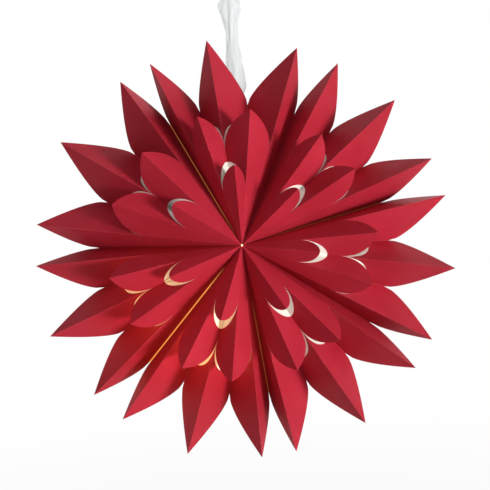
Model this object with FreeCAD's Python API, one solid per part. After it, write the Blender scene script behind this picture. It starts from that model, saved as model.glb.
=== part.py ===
import FreeCAD, Part
import math
import os

# A lit paper star: seven folded modules round a hollow that holds a bulb, hung on its flex.
# Lengths in mm, angles in degrees. +Z is up, the star faces -Y, and the origin is the centre of
# the ceiling cup's top face. The flex and the star's middle are on the Z axis.

# Place of the star
hang_drop = 330.0            # ceiling to the middle of the star
half_depth = 58.0            # middle plane to the point where all front folds meet

# Paper
paper = 0.4                  # thickness of the card
centre_hole = 2.4            # the folds stop this far from their common point
lining_start = 7.0           # the inside of a leaf starts this far from that point

# Seams between modules, clockwise from straight up as seen from the front
seam_angles = [-27.4, 24.2, 75.1, 123.7, 173.2, 222.5, 273.3]
top_lean = -5.0              # beside the flex, the top module's middle fold stands this far left

# Where the folds lie inside a module, as shares of the angle from its middle to its seam
outer_ridge_shares = [0.82, 0.74, 0.83, 0.81, 0.81, 0.78, 0.80]
second_to_outer_share = 0.54
inner_valley_share = 0.375

# Rise of each fold towards the front
small_ridge_rise = 27.7
second_ridge_rise = 13.4
outer_ridge_rise = -3.0
middle_ridge_rise = -0.4
valley_reach = 169.0         # the valleys meet the middle plane at this radius

# Lengths along the folds from the common point
small_tip = 89.5
small_back_tip = 91.5        # the wall behind stands out beyond the front one
small_base = 59.5
second_tip = 142.5
second_back_tip = 150.0
second_base = 105.0
outer_tip = 228.0

# Cut edge of each kind of petal: angle to the ridge at the tip, and how far each end is pulled
small_cut = {"tip_angle": 72.0, "tip_pull": 12.0, "side_pull": 14.0}
small_back_cut = {"tip_angle": 84.0, "tip_pull": 12.0, "side_pull": 17.0}
second_cut = {"tip_angle": 72.0, "tip_pull": 17.0, "side_pull": 24.0}
second_back_cut = {"tip_angle": 72.0, "tip_pull": 17.0, "side_pull": 36.0}
second_side_cut = {"tip_angle": 72.0, "tip_pull": 17.0, "side_pull": 29.0}
outer_cut = {"tip_angle": 58.0, "tip_pull": 54.0, "side_pull": 12.0}

# Lamp, which hangs in the hollow with its globe at the star's middle
globe_radius = 22.5
shoulder_share = 0.8         # the globe turns into a cone where it is this share of its full radius
glass_wall = 0.8
glass_length = 55.0          # round end to the screw base
glass_neck_radius = 9.0
screw_base_radius = 6.75
screw_base_length = 19.0
led_board_radius = 5.5
led_board_thickness = 1.2
holder_radius = 14.0
holder_body_length = 30.0
holder_cap_length = 12.0
holder_lip = 1.5             # the holder's mouth stands this far below the top of the glass
holder_neck_radius = 6.0
holder_neck_length = 6.0
screw_clearance = 0.25
glass_clearance = 1.0

# Flex and what holds it
flex_diameter = 5.0
flex_socket_depth = 10.0
cup_radius = 22.0
cup_height = 18.0
cup_rounding = 5.0

# Bar that carries the paper, lying across the two valleys beside the flex
bar_width = 12.0
bar_thickness = 3.0
bar_overhang = 7.0           # the bar goes this far past each valley
bar_collar_radius = 5.0
bar_collar_length = 8.0
bar_seat_gap = 0.3

# Ribbon round the flex: depth below the ceiling, shift to the right, half width, half depth
ribbon_sections = [
    (24.0, 0.0, 6.0, 5.0),
    (41.0, 0.0, 14.5, 7.5),
    (74.0, 0.5, 7.4, 5.5),
    (105.0, 1.5, 9.9, 6.5),
    (134.0, 3.5, 12.2, 7.0),
    (158.0, 1.5, 7.4, 5.5),
    (174.0, 0.0, 5.0, 4.5),
]

os.makedirs("parts", exist_ok=True)


def direction(angle, rise):
    """Unit vector at a clock angle from straight up, turned towards the front by rise."""
    a = math.radians(angle)
    r = math.radians(rise)
    return FreeCAD.Vector(math.sin(a) * math.cos(r), -math.sin(r), math.cos(a) * math.cos(r))


front_point = FreeCAD.Vector(0, -half_depth, -hang_drop)
star_middle = FreeCAD.Vector(0, 0, -hang_drop)
valley_rise = -math.degrees(math.atan2(half_depth, valley_reach))
valley_length = math.hypot(half_depth, valley_reach)


def inward_normals(folds, closed):
    """Normal of the wall after each fold, pointing away from the star's outside."""
    count = len(folds) if closed else len(folds) - 1
    return [folds[i].cross(folds[(i + 1) % len(folds)]).normalize() for i in range(count)]


def fold_offset(before, after):
    """Shift that takes a fold line to the matching line on the paper's other face."""
    return (before + after) * (paper / (1 + before.dot(after)))


def cut_edge(tip_point, ridge, base_point, side, normal, cut):
    """Poles of the curved edge from a petal's tip to the end of its side fold."""
    across = ridge.cross(normal).normalize()
    if across.dot(side) < 0:
        across = across * -1
    angle = math.radians(cut["tip_angle"])
    leave = ridge * -math.cos(angle) + across * math.sin(angle)
    return [tip_point, tip_point + leave * cut["tip_pull"], base_point + side * cut["side_pull"], base_point]


def curve_through_poles(poles):
    curve = Part.BezierCurve()
    curve.setPoles(poles)
    return curve.toShape()


def face_of(edges):
    return Part.Face(Part.Wire(Part.__sortEdges__(edges)))


def triangle(a, b, c):
    return Part.Face(Part.makePolygon([a, b, c, a]))


def folded_sheet(folds, lengths, kinds, cuts, end_normals=None):
    """One thin solid whose walls all pass through front_point.

    folds are unit vectors in order round the sheet, lengths their lengths, kinds "tip" or "base".
    Without end_normals the sheet closes on itself as a tube.
    """
    closed = end_normals is None
    normals = inward_normals(folds, closed)
    count = len(folds)
    shifts = []
    for i in range(count):
        if closed:
            shifts.append(fold_offset(normals[i - 1], normals[i]))
        else:
            before = end_normals[0] if i == 0 else normals[i - 1]
            after = end_normals[1] if i == count - 1 else normals[i]
            shifts.append(fold_offset(before, after))
    lining = lining_start if closed else centre_hole
    outer_start = [front_point + f * centre_hole for f in folds]
    inner_start = [front_point + s + f * lining for f, s in zip(folds, shifts)]
    outer_end = [front_point + f * n for f, n in zip(folds, lengths)]
    inner_end = [p + s for p, s in zip(outer_end, shifts)]
    faces = []
    for i, normal in enumerate(normals):
        j = (i + 1) % count
        tip, base = (i, j) if kinds[i] == "tip" else (j, i)
        poles = cut_edge(outer_end[tip], folds[tip], outer_end[base], folds[base], normal, cuts[i])
        inner_poles = [inner_end[tip], poles[1] + normal * paper, poles[2] + normal * paper, inner_end[base]]
        outer_curve = curve_through_poles(poles)
        inner_curve = curve_through_poles(inner_poles)
        faces.append(face_of([
            Part.makeLine(outer_start[i], outer_end[i]),
            Part.makeLine(outer_start[j], outer_end[j]),
            Part.makeLine(outer_start[i], outer_start[j]),
            outer_curve,
        ]))
        faces.append(face_of([
            Part.makeLine(inner_start[i], inner_end[i]),
            Part.makeLine(inner_start[j], inner_end[j]),
            Part.makeLine(inner_start[i], inner_start[j]),
            inner_curve,
        ]))
        faces.append(Part.makeRuledSurface(outer_curve, inner_curve))
        if not closed:
            faces.append(triangle(outer_start[i], outer_start[j], inner_start[j]))
            faces.append(triangle(outer_start[i], inner_start[j], inner_start[i]))
    if closed:
        for start in (outer_start, inner_start):
            faces.append(triangle(start[0], start[1], start[2]))
            faces.append(triangle(start[0], start[2], start[3]))
    else:
        for k in (0, count - 1):
            faces.append(face_of([
                Part.makeLine(outer_start[k], outer_end[k]),
                Part.makeLine(outer_end[k], inner_end[k]),
                Part.makeLine(inner_end[k], inner_start[k]),
                Part.makeLine(inner_start[k], outer_start[k]),
            ]))
    shell = Part.makeShell(faces)
    shell.sewShape()
    solid = Part.makeSolid(shell)
    if solid.Volume < 0:
        solid.reverse()
    return solid


def to_back(shape):
    """The same piece on the star's back, mirrored in the middle plane."""
    return shape.mirror(star_middle, FreeCAD.Vector(0, 1, 0))


def seam_normal(fold):
    """Normal of the radial plane through a seam, used to mitre the two modules that meet there."""
    return FreeCAD.Vector(0, 1, 0).cross(fold).normalize()


class Module:
    """Fold directions of one module, from its left seam to its right seam."""

    def __init__(self, index):
        left = seam_angles[index]
        right = seam_angles[(index + 1) % len(seam_angles)]
        if right < left:
            right += 360.0
        centre = (left + right) / 2
        middle = centre + (top_lean if index == 0 else 0)
        outer_share = outer_ridge_shares[index]
        second_share = outer_share * second_to_outer_share

        def at(share, rise, side):
            reach = (right - middle) if side > 0 else (middle - left)
            return direction(middle + side * share * reach, rise)

        self.seam = {-1: at(1.0, valley_rise, -1), 1: at(1.0, valley_rise, 1)}
        self.outer_ridge = {s: at(outer_share, outer_ridge_rise, s) for s in (-1, 1)}
        self.valley = {s: at(inner_valley_share, valley_rise, s) for s in (-1, 1)}
        self.second_ridge = {s: at(second_share, second_ridge_rise, s) for s in (-1, 1)}
        self.middle_ridge = direction(middle, middle_ridge_rise)
        self.small_ridge = direction(centre, small_ridge_rise)

    def small_leaf(self):
        folds = [self.second_ridge[-1], self.small_ridge, self.second_ridge[1], self.middle_ridge]
        lengths = [small_base, small_tip, small_base, small_back_tip]
        cuts = [small_cut, small_cut, small_back_cut, small_back_cut]
        return folded_sheet(folds, lengths, ["base", "tip", "base", "tip"], cuts)

    def second_leaf(self, side):
        folds = [self.outer_ridge[side], self.second_ridge[side], self.middle_ridge, self.valley[side]]
        if side > 0:
            folds.reverse()
            kinds = ["tip", "base", "tip", "base"]
            lengths = [second_back_tip, second_base, second_tip, second_base]
            cuts = [second_back_cut, second_cut, second_cut, second_side_cut]
        else:
            kinds = ["base", "tip", "base", "tip"]
            lengths = [second_base, second_tip, second_base, second_back_tip]
            cuts = [second_cut, second_cut, second_back_cut, second_side_cut]
        return folded_sheet(folds, lengths, kinds, cuts)

    def outer_sheet(self):
        folds = [self.seam[-1], self.outer_ridge[-1], self.valley[-1], self.middle_ridge,
                 self.valley[1], self.outer_ridge[1], self.seam[1]]
        kinds = ["base", "tip", "base", "tip", "base", "tip", "base"]
        lengths = [outer_tip if k == "tip" else valley_length for k in kinds]
        first, *_, last = inward_normals(folds, False)

        def mirrored(normal, across):
            return normal - across * (2 * normal.dot(across))

        ends = (mirrored(first, seam_normal(folds[0])), mirrored(last, seam_normal(folds[6])))
        return folded_sheet(folds, lengths, kinds, [outer_cut] * 6, ends)


def front_half_only(sheet):
    """Trim the valleys' ends flat in the middle plane, where the back half meets them."""
    reach = 2 * outer_tip
    behind = Part.makeBox(2 * reach, reach, 2 * reach, FreeCAD.Vector(-reach, 0, -hang_drop - reach))
    return sheet.cut(behind)


def cylinder_down(radius, length, top, x=0.0):
    return Part.makeCylinder(radius, length, FreeCAD.Vector(x, 0, top), FreeCAD.Vector(0, 0, -1))


flex_radius = flex_diameter / 2
glass_bottom = -hang_drop - globe_radius
glass_top = glass_bottom + glass_length
holder_mouth = glass_top - holder_lip
holder_body_top = holder_mouth + holder_body_length
holder_cap_top = holder_body_top + holder_cap_length
holder_top = holder_cap_top + holder_neck_length
flex_top = -cup_height + flex_socket_depth
flex_bottom = holder_top - flex_socket_depth


def bulb_form(shrink):
    """Globe with a cone that narrows to the neck, shrunk by shrink."""
    globe = Part.makeSphere(globe_radius - shrink, star_middle)
    shoulder = globe_radius * shoulder_share
    rise = math.sqrt(globe_radius ** 2 - shoulder ** 2)
    neck = Part.makeCone(shoulder - shrink, glass_neck_radius - shrink, glass_top + hang_drop - rise,
                         star_middle + FreeCAD.Vector(0, 0, rise))
    return globe.fuse(neck)


def bulb_glass():
    return bulb_form(0).cut(bulb_form(glass_wall))


def bulb_screw_base():
    return cylinder_down(screw_base_radius, screw_base_length, glass_top + screw_base_length)


def led_board():
    return cylinder_down(led_board_radius, led_board_thickness, glass_top)


def holder_body():
    body = cylinder_down(holder_radius, holder_body_length, holder_body_top)
    socket_top = glass_top + screw_base_length
    socket = cylinder_down(screw_base_radius + screw_clearance, socket_top - holder_mouth, socket_top)
    mouth_top = glass_top + glass_clearance
    mouth = cylinder_down(glass_neck_radius + glass_clearance, mouth_top - holder_mouth, mouth_top)
    return body.cut(socket).cut(mouth)


def holder_cap():
    cap = cylinder_down(holder_radius, holder_cap_length, holder_cap_top)
    neck = cylinder_down(holder_neck_radius, holder_neck_length, holder_top)
    return cap.fuse(neck).removeSplitter().cut(cylinder_down(flex_radius, flex_socket_depth, holder_top))


def flex():
    return cylinder_down(flex_radius, flex_top - flex_bottom, flex_top)


def ceiling_cup():
    cup = cylinder_down(cup_radius, cup_height, 0)
    rim = [e for e in cup.Edges if abs(e.CenterOfMass.z + cup_height) < 0.01]
    return cup.makeFillet(cup_rounding, rim).cut(cylinder_down(flex_radius, flex_socket_depth, flex_top))


def wedge_half_angle(module):
    """Half the angle between the two walls that meet in the module's valley."""
    valley = module.valley[1]
    walls = [valley.cross(module.middle_ridge).normalize(), module.outer_ridge[1].cross(valley).normalize()]
    return (180 - math.degrees(walls[0].getAngle(walls[1]))) / 2


def hanger_bar():
    """Flat bar with a collar that grips the flex, under the top module's two valleys."""
    top_module = Module(0)
    left, right = top_module.valley[-1], top_module.valley[1]
    across = FreeCAD.Vector(right.x - left.x, 0, right.z - left.z).normalize()
    up = FreeCAD.Vector(-across.z, 0, across.x)
    spread = FreeCAD.Vector(left.x, 0, left.z).getAngle(FreeCAD.Vector(right.x, 0, right.z)) / 2
    paper_depth = paper / math.sin(math.radians(wedge_half_angle(top_module)))
    seat_radius = valley_reach * (1 - (bar_width / 2 + paper_depth) / half_depth)
    top = seat_radius * math.cos(spread) - bar_seat_gap
    half_length = seat_radius * math.sin(spread) + bar_overhang
    flat = Part.makeBox(2 * half_length, bar_width, bar_thickness)
    turn = FreeCAD.Rotation(across, FreeCAD.Vector(0, 1, 0), up, "XYZ")
    corner = star_middle + up * (top - bar_thickness) - across * half_length
    corner = corner - FreeCAD.Vector(0, bar_width / 2, 0)
    flat.Placement = FreeCAD.Placement(corner, turn)
    middle_height = -hang_drop + (top - bar_thickness / 2) / up.z
    collar = cylinder_down(bar_collar_radius, bar_collar_length, middle_height)
    return flat.fuse(collar).removeSplitter().cut(cylinder_down(flex_radius, hang_drop, 0))


def ribbon():
    rings = []
    for depth, shift, half_width, half_thickness in ribbon_sections:
        centre = FreeCAD.Vector(shift, 0, -depth)
        side = centre + FreeCAD.Vector(half_width, 0, 0)
        back = centre + FreeCAD.Vector(0, half_thickness, 0)
        rings.append(Part.Wire(Part.Ellipse(side, back, centre).toShape()))
    return Part.makeLoft(rings, True).cut(cylinder_down(flex_radius, hang_drop, 0))


def export(name, shape):
    print(name, "solids", len(shape.Solids), "valid", shape.isValid(), "volume", round(shape.Volume, 1))
    shape.exportStep("parts/" + name + ".step")


def main():
    for index in range(len(seam_angles)):
        module = Module(index)
        number = str(index + 1)
        front = front_half_only(module.outer_sheet())
        export("outer_sheet_" + number, front.fuse(to_back(front)))
        small = module.small_leaf()
        export("small_leaf_front_" + number, small)
        export("small_leaf_back_" + number, to_back(small))
        for side, word in ((-1, "left"), (1, "right")):
            leaf = module.second_leaf(side)
            export("second_leaf_front_" + word + "_" + number, leaf)
            export("second_leaf_back_" + word + "_" + number, to_back(leaf))
    export("bulb_glass", bulb_glass())
    export("bulb_screw_base", bulb_screw_base())
    export("led_board", led_board())
    export("holder_body", holder_body())
    export("holder_cap", holder_cap())
    export("hanger_bar", hanger_bar())
    export("flex", flex())
    export("ribbon", ribbon())
    export("ceiling_cup", ceiling_cup())


if __name__ == "__main__":
    main()
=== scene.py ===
import bpy
import math
from mathutils import Matrix, Vector


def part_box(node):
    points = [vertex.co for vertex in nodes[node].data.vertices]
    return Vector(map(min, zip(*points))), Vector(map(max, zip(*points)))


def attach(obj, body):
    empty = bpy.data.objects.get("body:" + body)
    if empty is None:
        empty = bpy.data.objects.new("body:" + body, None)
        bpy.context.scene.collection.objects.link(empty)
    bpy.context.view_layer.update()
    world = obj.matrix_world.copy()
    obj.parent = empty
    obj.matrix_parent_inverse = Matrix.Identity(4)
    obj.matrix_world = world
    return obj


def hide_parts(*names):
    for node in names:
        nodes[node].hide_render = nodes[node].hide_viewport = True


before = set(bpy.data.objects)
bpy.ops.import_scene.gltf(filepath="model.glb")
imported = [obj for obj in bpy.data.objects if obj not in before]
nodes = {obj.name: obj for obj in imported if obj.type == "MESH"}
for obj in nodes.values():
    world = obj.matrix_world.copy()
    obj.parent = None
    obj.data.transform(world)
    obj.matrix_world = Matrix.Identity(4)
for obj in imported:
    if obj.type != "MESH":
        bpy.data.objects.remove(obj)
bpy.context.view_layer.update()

# The star's own geometry, in metres: its middle, and how far before and behind it all folds meet
star = {
    "middle": Vector((0, 0, -0.330)),
    "halfDepth": 0.058,
    "cardThickness": 0.0004,
}
frontPoint = star["middle"] - Vector((0, star["halfDepth"], 0))
backPoint = star["middle"] + Vector((0, star["halfDepth"], 0))


def linear(hexColour):
    # sRGB hex to the linear values that the sockets take
    values = [int(hexColour[i:i + 2], 16) / 255 for i in (1, 3, 5)]
    return [v / 12.92 if v <= 0.04045 else ((v + 0.055) / 1.055) ** 2.4 for v in values] + [1.0]


def addNode(material, kind, settings=(), links=()):
    # settings name an input socket or an attribute; links name an input socket and its source
    node = material.node_tree.nodes.new(kind)
    for name, value in dict(settings).items():
        if isinstance(name, int) or name in node.inputs:
            node.inputs[name].default_value = value
        else:
            setattr(node, name, value)
    for name, source in dict(links).items():
        material.node_tree.links.new(source, node.inputs[name])
    return node


def newMaterial(name):
    material = bpy.data.materials.new(name)
    material.use_nodes = True
    material.node_tree.nodes.clear()
    return material


def finishMaterial(material, shader):
    output = addNode(material, "ShaderNodeOutputMaterial")
    material.node_tree.links.new(shader, output.inputs["Surface"])
    return material


def perMetre(millimetres):
    # Scale of a noise pattern whose grains lie this far apart
    return 1000 / millimetres


def waveScale(length, spacingMm):
    # Scale of a wave pattern whose coordinate runs from 0 to 1 over a length in metres. At scale 1 a wave texture
    # repeats 20 / (2 pi) times over it
    return 2 * math.pi / 20 * length * 1000 / spacingMm


# Where the bulb's light gathers inside the paper, low on the left, and how far it is felt, in metres
glow = {"centre": (-0.080, 0.0, -0.425), "near": 0.035, "far": 0.150}


def glowShare(material, power):
    # The full power at the warm place, falling to 0 at the far distance
    place = addNode(material, "ShaderNodeTexCoord").outputs["Object"]
    away = addNode(material, "ShaderNodeVectorMath", {"operation": "DISTANCE", 1: glow["centre"]}, {0: place})
    fall = addNode(material, "ShaderNodeMapRange",
                   {"interpolation_type": "SMOOTHSTEP", "From Min": glow["near"], "From Max": glow["far"],
                    "To Min": power, "To Max": 0.0}, {"Value": away.outputs["Value"]})
    return fall.outputs["Result"]


# Seams between modules where the lamp shows as a thin line. Angles are clockwise from the top, in degrees,
# and start is how far from the middle the line begins, in metres
slits = [
    {"angle": -27.4, "halfWidth": 0.00045, "start": 0.012, "power": 0.22},
    {"angle": 222.5, "halfWidth": 0.00060, "start": 0.030, "power": 0.70},
    {"angle": 173.2, "halfWidth": 0.00035, "start": 0.060, "power": 0.10},
    {"angle": 75.1, "halfWidth": 0.00030, "start": 0.020, "power": 0.10},
]
slitRise = 0.03  # length over which a line comes up to its power
slitSeen = 0.01  # power from which a line takes its own colour


def slitShare(material, total):
    # Adds the light of each slit to the socket total
    place = addNode(material, "ShaderNodeTexCoord").outputs["Object"]
    fromMiddle = addNode(material, "ShaderNodeVectorMath",
                         {"operation": "SUBTRACT", 1: star["middle"]}, {0: place}).outputs[0]
    for slit in slits:
        turn = math.radians(slit["angle"])
        across = addNode(material, "ShaderNodeVectorMath",
                         {"operation": "DOT_PRODUCT", 1: (math.cos(turn), 0, -math.sin(turn))}, {0: fromMiddle})
        along = addNode(material, "ShaderNodeVectorMath",
                        {"operation": "DOT_PRODUCT", 1: (math.sin(turn), 0, math.cos(turn))}, {0: fromMiddle})
        offset = addNode(material, "ShaderNodeMath", {"operation": "ABSOLUTE"}, {0: across.outputs["Value"]})
        inside = addNode(material, "ShaderNodeMath",
                         {"operation": "LESS_THAN", 1: slit["halfWidth"]}, {0: offset.outputs[0]})
        rise = addNode(material, "ShaderNodeMapRange",
                       {"From Min": slit["start"], "From Max": slit["start"] + slitRise, "To Max": slit["power"]},
                       {"Value": along.outputs["Value"]})
        lit = addNode(material, "ShaderNodeMath", {"operation": "MULTIPLY_ADD"},
                      {0: inside.outputs[0], 1: rise.outputs["Result"], 2: total})
        total = lit.outputs[0]
    return total


# Folded card: patterns in millimetres, bumps as strength and distance in metres
cardLook = {
    "red": "#B4293A", "redDeep": "#A5202F",
    # The paler red of the folds is a painted highlight, partly rubbed wear
    "fold": "#E07883",
    "lining": "#F3EEE6", "liningGrey": "#DFD8CF",
    "edge": "#E7CFC8",
    "lightAmber": "#FFB45A", "lightRed": "#E02A10", "lightGold": "#FFB85C",
    "fibreMm": 0.9, "cloudMm": 60, "wavesMm": 45,
    "fibreShare": 0.45, "mixFrom": 0.45, "mixTo": 0.95,
    "bendBump": (0.35, 0.004), "grainBump": (0.18, 0.0003),
    "roughSpread": 0.06, "specular": 0.1,
}


def cardSurface(name, colours, glowColour, glowPower, roughness, withSlits=False):
    # Uncoated dyed card: dull, with a faint fibre grain and soft unevenness where it bends
    material = newMaterial(name)
    place = addNode(material, "ShaderNodeTexCoord").outputs["Object"]
    fibre = addNode(material, "ShaderNodeTexNoise",
                    {"Scale": perMetre(cardLook["fibreMm"]), "Detail": 3.0, "Roughness": 0.6}, {"Vector": place})
    cloud = addNode(material, "ShaderNodeTexNoise",
                    {"Scale": perMetre(cardLook["cloudMm"]), "Detail": 2.0}, {"Vector": place})
    waves = addNode(material, "ShaderNodeTexNoise",
                    {"Scale": perMetre(cardLook["wavesMm"]), "Detail": 1.0}, {"Vector": place})
    both = addNode(material, "ShaderNodeMath", {"operation": "MULTIPLY_ADD", 1: cardLook["fibreShare"]},
                   {0: fibre.outputs["Fac"], 2: cloud.outputs["Fac"]})
    spread = addNode(material, "ShaderNodeMapRange",
                     {"From Min": cardLook["mixFrom"], "From Max": cardLook["mixTo"]}, {"Value": both.outputs[0]})
    colour = addNode(material, "ShaderNodeMix",
                     {"data_type": "RGBA", 6: linear(cardLook[colours[0]]), 7: linear(cardLook[colours[1]])},
                     {0: spread.outputs["Result"]})
    bend = addNode(material, "ShaderNodeBump",
                   {"Strength": cardLook["bendBump"][0], "Distance": cardLook["bendBump"][1]},
                   {"Height": waves.outputs["Fac"]})
    grain = addNode(material, "ShaderNodeBump",
                    {"Strength": cardLook["grainBump"][0], "Distance": cardLook["grainBump"][1]},
                    {"Height": fibre.outputs["Fac"], "Normal": bend.outputs["Normal"]})
    rough = addNode(material, "ShaderNodeMapRange",
                    {"To Min": roughness - cardLook["roughSpread"], "To Max": roughness + cardLook["roughSpread"]},
                    {"Value": fibre.outputs["Fac"]})
    inside = glowShare(material, glowPower)
    shader = addNode(material, "ShaderNodeBsdfPrincipled",
                     {"Specular IOR Level": cardLook["specular"], "Emission Color": linear(cardLook[glowColour])},
                     {"Base Color": colour.outputs[2], "Roughness": rough.outputs["Result"],
                      "Normal": grain.outputs["Normal"], "Emission Strength": inside})
    if withSlits:
        slit = slitShare(material, addNode(material, "ShaderNodeValue").outputs[0])
        share = addNode(material, "ShaderNodeMath", {"operation": "GREATER_THAN", 1: slitSeen}, {0: slit})
        warm = addNode(material, "ShaderNodeMix",
                       {"data_type": "RGBA", 6: linear(cardLook[glowColour]), 7: linear(cardLook["lightGold"])},
                       {0: share.outputs[0]})
        power = addNode(material, "ShaderNodeMath", {"operation": "ADD"}, {0: inside, 1: slit})
        material.node_tree.links.new(warm.outputs[2], shader.inputs["Emission Color"])
        material.node_tree.links.new(power.outputs[0], shader.inputs["Emission Strength"])
    return finishMaterial(material, shader.outputs["BSDF"])


redCard = cardSurface("dyedRedCard", ("red", "redDeep"), "lightRed", glowPower=0.12, roughness=0.62, withSlits=True)
whiteLining = cardSurface("whiteCardLining", ("lining", "liningGrey"), "lightAmber", glowPower=0.7, roughness=0.7)
cutEdge = cardSurface("cutCardEdge", ("edge", "liningGrey"), "lightAmber", glowPower=0.5, roughness=0.8)
# Paler red skin for the fold bevels: painted highlight along the folds, partly rubbed wear
foldHighlightCard = cardSurface("paleFoldHighlightAndWear", ("fold", "red"), "lightRed", glowPower=0.16, roughness=0.55)

# The order of the materials on each card piece
cardSkins = [redCard, whiteLining, cutEdge, foldHighlightCard]
outsideSkin, liningSkin, edgeSkin, foldHighlightSkin = range(len(cardSkins))


def deselectAll():
    if bpy.context.object and bpy.context.object.mode != "OBJECT":
        bpy.ops.object.mode_set(mode="OBJECT")
    bpy.ops.object.select_all(action="DESELECT")


def makeActive(piece):
    deselectAll()
    piece.select_set(True)
    bpy.context.view_layer.objects.active = piece


# Lengths in metres, angles in radians: what tells a wall's plane, what is merged or taken as flat, and how sharp
# a fold is at least and how it is rounded
cardMesh = {
    "planeWithin": 0.00008, "mergeWithin": 0.00002, "flatWithin": math.radians(0.3),
    "rounding": 0.0007, "segments": 2, "sharpest": math.radians(12),
}
pinch = {"within": 0.003, "keep": 0.4}  # the folds are drawn together where they meet


def isWall(face, point, distance):
    # A wall's plane passes the star's front or back point at a known distance
    return abs(abs(face.normal.dot(face.center - point)) - distance) < cardMesh["planeWithin"]


def paintWalls(mesh):
    for face in mesh.polygons:
        point = frontPoint if face.center.y < 0 else backPoint
        if isWall(face, point, 0):
            face.material_index = outsideSkin
        elif isWall(face, point, star["cardThickness"]):
            face.material_index = liningSkin
        else:
            face.material_index = edgeSkin


def roundFolds(mesh):
    # Bevels the red folds and gives the bevels a paler red: a painted highlight along the folds, partly rubbed wear
    facesOf = {}
    for face in mesh.polygons:
        for key in face.edge_keys:
            facesOf.setdefault(key, []).append(face)
    for edge in mesh.edges:
        pair = facesOf.get(edge.key, [])
        edge.select = (len(pair) == 2 and all(f.material_index == outsideSkin for f in pair)
                       and pair[0].normal.angle(pair[1].normal) > cardMesh["sharpest"])
    bpy.ops.object.mode_set(mode="EDIT")
    bpy.ops.mesh.select_mode(type="EDGE")
    bpy.ops.mesh.bevel(offset=cardMesh["rounding"], segments=cardMesh["segments"], affect="EDGES",
                       clamp_overlap=True, material=foldHighlightSkin)
    bpy.ops.object.mode_set(mode="OBJECT")


def cardPiece(nodeName):
    # A copy of the folded solid, merged, with red outside, white inside, pale cut edges and rounded folds
    piece = bpy.data.objects.new("card_" + nodeName, nodes[nodeName].data.copy())
    bpy.context.scene.collection.objects.link(piece)
    mesh = piece.data
    mesh.materials.clear()
    for material in cardSkins:
        mesh.materials.append(material)
    makeActive(piece)
    bpy.ops.object.mode_set(mode="EDIT")
    bpy.ops.mesh.select_all(action="SELECT")
    bpy.ops.mesh.remove_doubles(threshold=cardMesh["mergeWithin"])
    bpy.ops.object.mode_set(mode="OBJECT")
    for vertex in mesh.vertices:
        for point in (frontPoint, backPoint):
            if (vertex.co - point).length < pinch["within"]:
                vertex.co = point + (vertex.co - point) * pinch["keep"]
    paintWalls(mesh)
    bpy.ops.object.mode_set(mode="EDIT")
    bpy.ops.mesh.select_all(action="SELECT")
    bpy.ops.mesh.dissolve_limited(angle_limit=cardMesh["flatWithin"], delimit={"MATERIAL"})
    bpy.ops.mesh.select_all(action="DESELECT")
    bpy.ops.object.mode_set(mode="OBJECT")
    roundFolds(mesh)
    for face in mesh.polygons:
        face.use_smooth = False
    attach(piece, "root")
    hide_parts(nodeName)


for nodeName in sorted(nodes):
    if nodeName.startswith(("outer_sheet", "second_leaf", "small_leaf")):
        cardPiece(nodeName)
print("card pieces done")


# Plastic parts and the flex's sheath: the texture's grain in millimetres, its bump as strength and distance
plasticLook = {"grainMm": 0.4, "bump": (0.12, 0.0001), "smoother": 0.05, "rougher": 0.08}


def moulded(name, colour, roughness, grainMm=plasticLook["grainMm"]):
    # Injection moulded or extruded plastic with a fine surface texture
    material = newMaterial(name)
    place = addNode(material, "ShaderNodeTexCoord").outputs["Object"]
    texture = addNode(material, "ShaderNodeTexNoise", {"Scale": perMetre(grainMm), "Detail": 2.0}, {"Vector": place})
    rough = addNode(material, "ShaderNodeMapRange",
                    {"To Min": roughness - plasticLook["smoother"], "To Max": roughness + plasticLook["rougher"]},
                    {"Value": texture.outputs["Fac"]})
    bump = addNode(material, "ShaderNodeBump",
                   {"Strength": plasticLook["bump"][0], "Distance": plasticLook["bump"][1]},
                   {"Height": texture.outputs["Fac"]})
    shader = addNode(material, "ShaderNodeBsdfPrincipled", {"Base Color": linear(colour)},
                     {"Roughness": rough.outputs["Result"], "Normal": bump.outputs["Normal"]})
    return finishMaterial(material, shader.outputs["BSDF"])


whiteUrea = moulded("mouldedWhitePlastic", "#EDECE8", roughness=0.35)
flexSheath = moulded("whiteFlexSheath", "#F6F6F4", roughness=0.4, grainMm=0.6)
boardResin = moulded("whiteBoardResin", "#E8E8E4", roughness=0.5)

capLook = {"nickel": "#C9C6BF", "ringMm": 1.122, "unevenness": 0.2, "smooth": 0.2, "rough": 0.35}


def platedCap():
    # Nickel plated brass, turned, with fine rings
    material = newMaterial("nickelPlatedCap")
    place = addNode(material, "ShaderNodeTexCoord").outputs["Object"]
    rings = addNode(material, "ShaderNodeTexWave",
                    {"bands_direction": "Z", "Scale": waveScale(1, capLook["ringMm"]),
                     "Distortion": capLook["unevenness"]}, {"Vector": place})
    rough = addNode(material, "ShaderNodeMapRange", {"To Min": capLook["smooth"], "To Max": capLook["rough"]},
                    {"Value": rings.outputs["Fac"]})
    shader = addNode(material, "ShaderNodeBsdfPrincipled", {"Base Color": linear(capLook["nickel"]), "Metallic": 1.0},
                     {"Roughness": rough.outputs["Result"]})
    return finishMaterial(material, shader.outputs["BSDF"])


# The neck's colour comes in between two heights, in metres
bulbLook = {
    "glass": "#FFF4E2", "light": "#FFD9A0", "neckLight": "#FFB870",
    "neckFrom": -0.33, "neckTo": -0.30, "roughness": 0.25, "power": 4.0,
}


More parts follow.
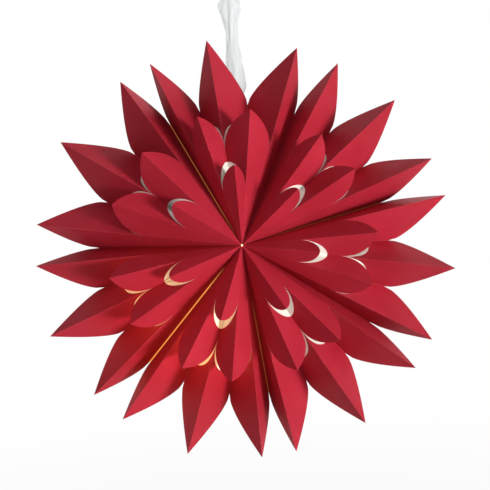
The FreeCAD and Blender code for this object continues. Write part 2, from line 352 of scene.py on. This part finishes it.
def litOpal():
    # Opal glass with the lamp on: an even warm white, a little yellower towards the neck
    material = newMaterial("litOpalGlass")
    place = addNode(material, "ShaderNodeTexCoord").outputs["Object"]
    height = addNode(material, "ShaderNodeSeparateXYZ", {}, {"Vector": place})
    neck = addNode(material, "ShaderNodeMapRange", {"From Min": bulbLook["neckFrom"], "From Max": bulbLook["neckTo"]},
                   {"Value": height.outputs["Z"]})
    warm = addNode(material, "ShaderNodeMix",
                   {"data_type": "RGBA", 6: linear(bulbLook["light"]), 7: linear(bulbLook["neckLight"])},
                   {0: neck.outputs["Result"]})
    shader = addNode(material, "ShaderNodeBsdfPrincipled",
                     {"Base Color": linear(bulbLook["glass"]), "Roughness": bulbLook["roughness"],
                      "Emission Strength": bulbLook["power"]}, {"Emission Color": warm.outputs[2]})
    return finishMaterial(material, shader.outputs["BSDF"])


# Finishes of the solids that stay as they are
plainFinishes = {
    "bulb_glass": litOpal(),
    "bulb_screw_base": platedCap(),
    "led_board": boardResin,
    "holder_body": whiteUrea,
    "holder_cap": whiteUrea,
    "hanger_bar": whiteUrea,
    "ceiling_cup": whiteUrea,
}
for nodeName, material in plainFinishes.items():
    nodes[nodeName].data.materials.clear()
    nodes[nodeName].data.materials.append(material)
print("lamp finishes done")


# Flex, pulled straight by the star's weight, in metres
flexLook = {"diameter": 0.005, "intoCup": 0.010, "points": 4, "roundness": 6}
flexStart = Vector((0, 0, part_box("holder_cap")[1].z))
flexEnd = Vector((0, 0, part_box("ceiling_cup")[0].z + flexLook["intoCup"]))


def flexCurve():
    data = bpy.data.curves.new("flexCurve", "CURVE")
    data.dimensions = "3D"
    data.bevel_depth = flexLook["diameter"] / 2
    data.bevel_resolution = flexLook["roundness"]
    data.use_fill_caps = True
    line = data.splines.new("NURBS")
    line.points.add(flexLook["points"] - 1)
    for i, point in enumerate(line.points):
        point.co = (*flexStart.lerp(flexEnd, i / (flexLook["points"] - 1)), 1)
    line.order_u = 3
    line.use_endpoint_u = True
    piece = bpy.data.objects.new("flexLead", data)
    bpy.context.scene.collection.objects.link(piece)
    data.materials.append(flexSheath)
    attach(piece, "root")
    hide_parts("flex")
    return piece


# Sheer ribbon gathered round the flex, in metres. Each ring: depth below the ceiling, shift, half width, half depth.
# Pleats and crossPleats are counted round the flex, and both lean by the twist on the way down
ribbonLook = {
    "rings": [
        (0.024, 0.0, 0.0060, 0.0050), (0.041, 0.0, 0.0145, 0.0075), (0.074, 0.0005, 0.0074, 0.0055),
        (0.105, 0.0015, 0.0099, 0.0065), (0.134, 0.0035, 0.0122, 0.0070), (0.158, 0.0015, 0.0074, 0.0055),
        (0.174, 0.0, 0.0050, 0.0045),
    ],
    "around": 160, "along": 220,
    "turns": 1.04, "swell": 0.82, "edgeLift": 0.03, "offFlex": 0.0003,
    "pleats": 7, "crossPleats": 4, "crossShare": 0.6, "crossStart": 1.3, "pleatDepth": 0.16,
    "twist": 34.0, "lean": 3, "crossLean": 5,
    "warpMm": 0.2716, "weftMm": 0.3927,
    "cloth": "#E4E8E9", "through": "#E9EDED",
    "thinnest": 0.34, "densest": 0.62, "roughness": 0.45, "sheen": 0.4, "translucence": 0.35,
}


def ribbonRing(depth):
    # Shift, half width and half depth at any depth, eased from ring to ring
    rings = ribbonLook["rings"]
    depth = min(max(depth, rings[0][0]), rings[-1][0])
    for lower, upper in zip(rings, rings[1:]):
        if depth <= upper[0]:
            t = (depth - lower[0]) / (upper[0] - lower[0])
            t = t * t * (3 - 2 * t)
            return [a + (b - a) * t for a, b in zip(lower[1:], upper[1:])]
    return rings[-1][1:]


def sheerMaterial(flatWidth, flatLength):
    # Organza: crisp sheer weave that shows its threads, denser where two layers lie over each other.
    # The threads are drawn about three times as coarse as real ones, so that they show
    material = newMaterial("sheerOrganza")
    along = addNode(material, "ShaderNodeUVMap").outputs["UV"]
    warp = addNode(material, "ShaderNodeTexWave",
                   {"bands_direction": "X", "Scale": waveScale(flatWidth, ribbonLook["warpMm"])}, {"Vector": along})
    weft = addNode(material, "ShaderNodeTexWave",
                   {"bands_direction": "Y", "Scale": waveScale(flatLength, ribbonLook["weftMm"])}, {"Vector": along})
    threads = addNode(material, "ShaderNodeMath", {"operation": "MAXIMUM"},
                      {0: warp.outputs["Fac"], 1: weft.outputs["Fac"]})
    share = addNode(material, "ShaderNodeMapRange",
                    {"To Min": ribbonLook["thinnest"], "To Max": ribbonLook["densest"]}, {"Value": threads.outputs[0]})
    cloth = addNode(material, "ShaderNodeBsdfPrincipled",
                    {"Base Color": linear(ribbonLook["cloth"]), "Roughness": ribbonLook["roughness"],
                     "Sheen Weight": ribbonLook["sheen"]})
    through = addNode(material, "ShaderNodeBsdfTranslucent", {"Color": linear(ribbonLook["through"])})
    body = addNode(material, "ShaderNodeMixShader", {"Fac": ribbonLook["translucence"]},
                   {1: cloth.outputs["BSDF"], 2: through.outputs["BSDF"]})
    clear = addNode(material, "ShaderNodeBsdfTransparent")
    mix = addNode(material, "ShaderNodeMixShader", {},
                  {"Fac": share.outputs["Result"], 1: clear.outputs["BSDF"], 2: body.outputs["Shader"]})
    return finishMaterial(material, mix.outputs["Shader"])


def ribbonPoint(u, v):
    # Where a point of the flat ribbon lies: u goes round the flex, v down along it
    top, bottom = ribbonLook["rings"][0][0], ribbonLook["rings"][-1][0]
    depth = top + (bottom - top) * v
    shift, halfWidth, halfDepth = ribbonRing(depth)
    turn = 2 * math.pi * u * ribbonLook["turns"]
    pleat = math.sin(ribbonLook["pleats"] * turn + ribbonLook["twist"] * depth * ribbonLook["lean"])
    pleat += ribbonLook["crossShare"] * math.sin(
        ribbonLook["crossPleats"] * turn - ribbonLook["twist"] * depth * ribbonLook["crossLean"]
        + ribbonLook["crossStart"])
    lift = ribbonLook["edgeLift"] * u
    swell = ribbonLook["swell"] + lift + ribbonLook["pleatDepth"] * pleat / (1 + ribbonLook["crossShare"])
    x = shift + halfWidth * swell * math.cos(turn)
    y = halfDepth * swell * math.sin(turn)
    away = math.hypot(x, y)
    least = flexLook["diameter"] / 2 + ribbonLook["offFlex"]
    if away < least:
        x, y = x * least / away, y * least / away
    return x, y, -depth


def ribbonPiece():
    deselectAll()
    bpy.ops.mesh.primitive_grid_add(x_subdivisions=ribbonLook["around"], y_subdivisions=ribbonLook["along"],
                                    size=1, calc_uvs=True)
    piece = bpy.context.object
    piece.name = "sheerRibbon"
    for vertex in piece.data.vertices:
        vertex.co = ribbonPoint(vertex.co.x + 0.5, vertex.co.y + 0.5)
    for face in piece.data.polygons:
        face.use_smooth = True
    flatLength = ribbonLook["rings"][-1][0] - ribbonLook["rings"][0][0]
    flatWidth = sum(face.area for face in piece.data.polygons) / flatLength
    piece.data.materials.append(sheerMaterial(flatWidth, flatLength))
    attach(piece, "root")
    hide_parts("ribbon")
    return piece


flexLead = flexCurve()
sheerRibbon = ribbonPiece()
print("flex and ribbon done")


# White room, in metres: the floor fades to plain white between two distances from its middle, and the world
# gives less light than it shows
room = {
    "floorHeight": -0.85, "floorSize": 8.0, "floorPaint": "#F7F7F5",
    "fadeFrom": 0.5, "fadeTo": 1.6, "whiteNear": 0.88,
    "worldLight": 0.33, "worldSeen": 1.0,
}


def seenAsBackground(material):
    # 1 for rays from the camera, from glossy surfaces and through clear ones
    light = addNode(material, "ShaderNodeLightPath")
    seen = addNode(material, "ShaderNodeMath", {"operation": "MAXIMUM"},
                   {0: light.outputs["Is Camera Ray"], 1: light.outputs["Is Glossy Ray"]})
    return addNode(material, "ShaderNodeMath", {"operation": "MAXIMUM"},
                   {0: seen.outputs[0], 1: light.outputs["Is Transmission Ray"]}).outputs[0]


def paleFloor():
    # Matt white paint that keeps the object's shadow near it and turns to plain white farther off
    material = newMaterial("paleFloorPaint")
    place = addNode(material, "ShaderNodeTexCoord").outputs["Object"]
    away = addNode(material, "ShaderNodeVectorMath", {"operation": "LENGTH"}, {0: place})
    fade = addNode(material, "ShaderNodeMapRange",
                   {"From Min": room["fadeFrom"], "From Max": room["fadeTo"], "To Min": room["whiteNear"],
                    "To Max": 1.0}, {"Value": away.outputs["Value"]})
    share = addNode(material, "ShaderNodeMath", {"operation": "MULTIPLY"},
                    {0: seenAsBackground(material), 1: fade.outputs["Result"]})
    matt = addNode(material, "ShaderNodeBsdfDiffuse", {"Color": linear(room["floorPaint"])})
    white = addNode(material, "ShaderNodeEmission", {"Color": (1, 1, 1, 1), "Strength": 1.0})
    mix = addNode(material, "ShaderNodeMixShader", {},
                  {"Fac": share.outputs[0], 1: matt.outputs["BSDF"], 2: white.outputs["Emission"]})
    return finishMaterial(material, mix.outputs["Shader"])


def paleWorld():
    world = bpy.data.worlds.new("paleRoom")
    world.use_nodes = True
    world.node_tree.nodes.clear()
    strength = addNode(world, "ShaderNodeMapRange", {"To Min": room["worldLight"], "To Max": room["worldSeen"]},
                       {"Value": seenAsBackground(world)})
    back = addNode(world, "ShaderNodeBackground", {"Color": (1, 1, 1, 1)}, {"Strength": strength.outputs["Result"]})
    output = addNode(world, "ShaderNodeOutputWorld")
    world.node_tree.links.new(back.outputs["Background"], output.inputs["Surface"])
    return world


deselectAll()
bpy.ops.mesh.primitive_plane_add(size=room["floorSize"], location=(0, 0, room["floorHeight"]))
floor = bpy.context.object
floor.name = "floor"
floor.data.materials.append(paleFloor())
bpy.context.scene.world = paleWorld()
print("room done")


# Camera, in degrees, metres and the photo's pixels. upAngle is where the star's top points in the picture, and
# tilt is how far the camera stands off the star's axis, towards tiltTowards. Both directions are measured
# clockwise from the picture's right
view = {
    "upAngle": 266.7, "tilt": 3.2, "tiltTowards": 65.0,
    "metresPerPixel": 0.00107, "focalPixels": 600.0, "imagePixels": 490.0, "frontPointPixel": (242.0, 245.4),
    "sensorMm": 36, "nearest": 0.01,
}


def pictureAxis(angle):
    # The star's own direction that points this way in the picture
    turn = math.radians(angle - view["upAngle"])
    return Vector((math.sin(turn), 0, math.cos(turn)))


def addCamera():
    imageRight, imageDown = pictureAxis(0), pictureAxis(90)
    tilt, towards = math.radians(view["tilt"]), math.radians(view["tiltTowards"])
    toCamera = (imageRight * math.cos(towards) * math.sin(tilt) + imageDown * math.sin(towards) * math.sin(tilt)
                + Vector((0, -1, 0)) * math.cos(tilt)).normalized()
    right = (imageRight - toCamera * imageRight.dot(toCamera)).normalized()
    upwards = toCamera.cross(right)
    data = bpy.data.cameras.new("camera")
    camera = bpy.data.objects.new("camera", data)
    bpy.context.scene.collection.objects.link(camera)
    place = frontPoint + toCamera * view["focalPixels"] * view["metresPerPixel"]
    camera.matrix_world = Matrix.Translation(place) @ Matrix((right, upwards, toCamera)).transposed().to_4x4()
    data.sensor_width = view["sensorMm"]
    data.lens = view["sensorMm"] * view["focalPixels"] / view["imagePixels"]
    data.clip_start = view["nearest"]
    middlePixel = view["imagePixels"] / 2
    data.shift_x = (middlePixel - view["frontPointPixel"][0]) / view["imagePixels"]
    data.shift_y = (view["frontPointPixel"][1] - middlePixel) / view["imagePixels"]
    bpy.context.scene.camera = camera


# Soft lamps turned to the star's middle: place and size in metres, power in watts. The key comes from below right
lamps = {
    "keyLight": {"place": (1.3, -1.35, -0.85), "size": 0.55, "power": 66},
    "fillLight": {"place": (0.3, -1.9, 0.9), "size": 1.6, "power": 6},
    "backLight": {"place": (0.3, 1.9, 0.7), "size": 1.5, "power": 16},
}


def addLamp(name, place, size, power):
    data = bpy.data.lights.new(name, "AREA")
    data.shape = "DISK"
    data.size = size
    data.energy = power
    lamp = bpy.data.objects.new(name, data)
    bpy.context.scene.collection.objects.link(lamp)
    lamp.location = place
    lamp.rotation_euler = (star["middle"] - Vector(place)).to_track_quat("-Z", "Y").to_euler()


addCamera()
for name, lamp in lamps.items():
    addLamp(name, **lamp)
bpy.context.scene.view_settings.view_transform = "Standard"
print("camera and light done")
